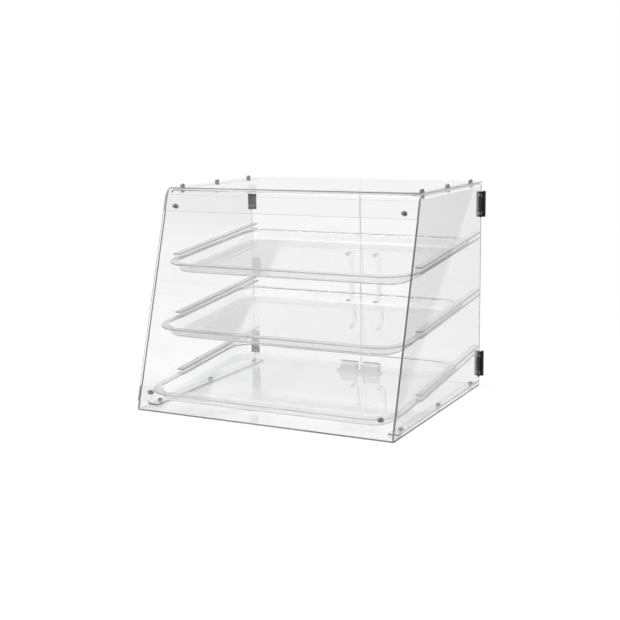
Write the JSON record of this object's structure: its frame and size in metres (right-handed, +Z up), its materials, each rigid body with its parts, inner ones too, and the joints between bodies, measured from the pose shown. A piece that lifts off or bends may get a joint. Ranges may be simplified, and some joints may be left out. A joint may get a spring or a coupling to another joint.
{
  "type": "cake display cabinet",
  "caption": "Countertop display cabinet of clear acrylic sheet with a slanted front, trays that slide on sloping rails and hinged rear doors.",
  "frame": {"origin": "middle of the base panel's underside, on the surface that the cabinet stands on", "axes": "+Z up, +Y towards the rear doors, +X to the right as seen from the slanted front"},
  "size_m": [0.5472, 0.4835, 0.4251],
  "materials": {
    "sheet_acrylic": "polished clear",
    "tray_acrylic": "clear, formed",
    "handle_acrylic": "polished clear",
    "screw_metal": "bright plated",
    "hinge_metal": "black, satin",
    "pin_metal": "dark steel",
    "catch_plastic": "pale, moulded",
    "strike_metal": "plated"
  },
  "bodies": {
    "cabinet": {"base_panel": "sheet_acrylic", "base_screw_left_front": "screw_metal", "base_screw_left_middle": "screw_metal", "base_screw_left_rear": "screw_metal", "base_screw_right_front": "screw_metal", "base_screw_right_middle": "screw_metal", "base_screw_right_rear": "screw_metal", "front_panel": "sheet_acrylic", "front_screw_left_lower": "screw_metal", "front_screw_left_upper": "screw_metal", "front_screw_right_lower": "screw_metal", "front_screw_right_upper": "screw_metal", "left_catch": "catch_plastic", "left_lower_hinge_pin": "pin_metal", "left_lower_hinge_side_leaf": "hinge_metal", "left_side_panel": "sheet_acrylic", "left_upper_hinge_pin": "pin_metal", "left_upper_hinge_side_leaf": "hinge_metal", "lower_left_guide": "sheet_acrylic", "lower_left_ledge": "sheet_acrylic", "lower_right_guide": "sheet_acrylic", "lower_right_ledge": "sheet_acrylic", "middle_left_guide": "sheet_acrylic", "middle_left_ledge": "sheet_acrylic", "middle_right_guide": "sheet_acrylic", "middle_right_ledge": "sheet_acrylic", "right_catch": "catch_plastic", "right_lower_hinge_pin": "pin_metal", "right_lower_hinge_side_leaf": "hinge_metal", "right_side_panel": "sheet_acrylic", "right_upper_hinge_pin": "pin_metal", "right_upper_hinge_side_leaf": "hinge_metal", "top_panel": "sheet_acrylic", "top_screw_left_front": "screw_metal", "top_screw_left_middle": "screw_metal", "top_screw_left_rear": "screw_metal", "top_screw_right_front": "screw_metal", "top_screw_right_middle": "screw_metal", "top_screw_right_rear": "screw_metal", "upper_left_guide": "sheet_acrylic", "upper_left_ledge": "sheet_acrylic", "upper_right_guide": "sheet_acrylic", "upper_right_ledge": "sheet_acrylic"},
    "left_door": {"left_door_panel": "sheet_acrylic", "left_handle": "handle_acrylic", "left_handle_screw_lower": "screw_metal", "left_handle_screw_upper": "screw_metal", "left_lower_hinge_door_leaf": "hinge_metal", "left_strike_plate": "strike_metal", "left_upper_hinge_door_leaf": "hinge_metal"},
    "right_door": {"right_door_panel": "sheet_acrylic", "right_handle": "handle_acrylic", "right_handle_screw_lower": "screw_metal", "right_handle_screw_upper": "screw_metal", "right_lower_hinge_door_leaf": "hinge_metal", "right_strike_plate": "strike_metal", "right_upper_hinge_door_leaf": "hinge_metal"},
    "lower_tray_body": {"lower_tray": "tray_acrylic"},
    "middle_tray_body": {"middle_tray": "tray_acrylic"},
    "upper_tray_body": {"upper_tray": "tray_acrylic"}
  },
  "joints": [
    {"name": "left_door_hinge", "type": "hinge", "parent": "cabinet", "child": "left_door", "pos_m": [-0.2702, 0.2322, 0.2095], "axis": [0, 0, 1], "range_deg": [0, 260]},
    {"name": "right_door_hinge", "type": "hinge", "parent": "cabinet", "child": "right_door", "pos_m": [0.2702, 0.2322, 0.2095], "axis": [0, 0, -1], "range_deg": [0, 260]},
    {"name": "lower_tray_slide", "type": "slide", "parent": "cabinet", "child": "lower_tray_body", "axis": [0, 0.9954, 0.0958], "range_m": [0, 0.0845]},
    {"name": "middle_tray_slide", "type": "slide", "parent": "cabinet", "child": "middle_tray_body", "axis": [0, 0.9954, 0.0958], "range_m": [0, 0.051]},
    {"name": "upper_tray_slide", "type": "slide", "parent": "cabinet", "child": "upper_tray_body", "axis": [0, 0.9954, 0.0958], "range_m": [0, 0.0135]}
  ]
}
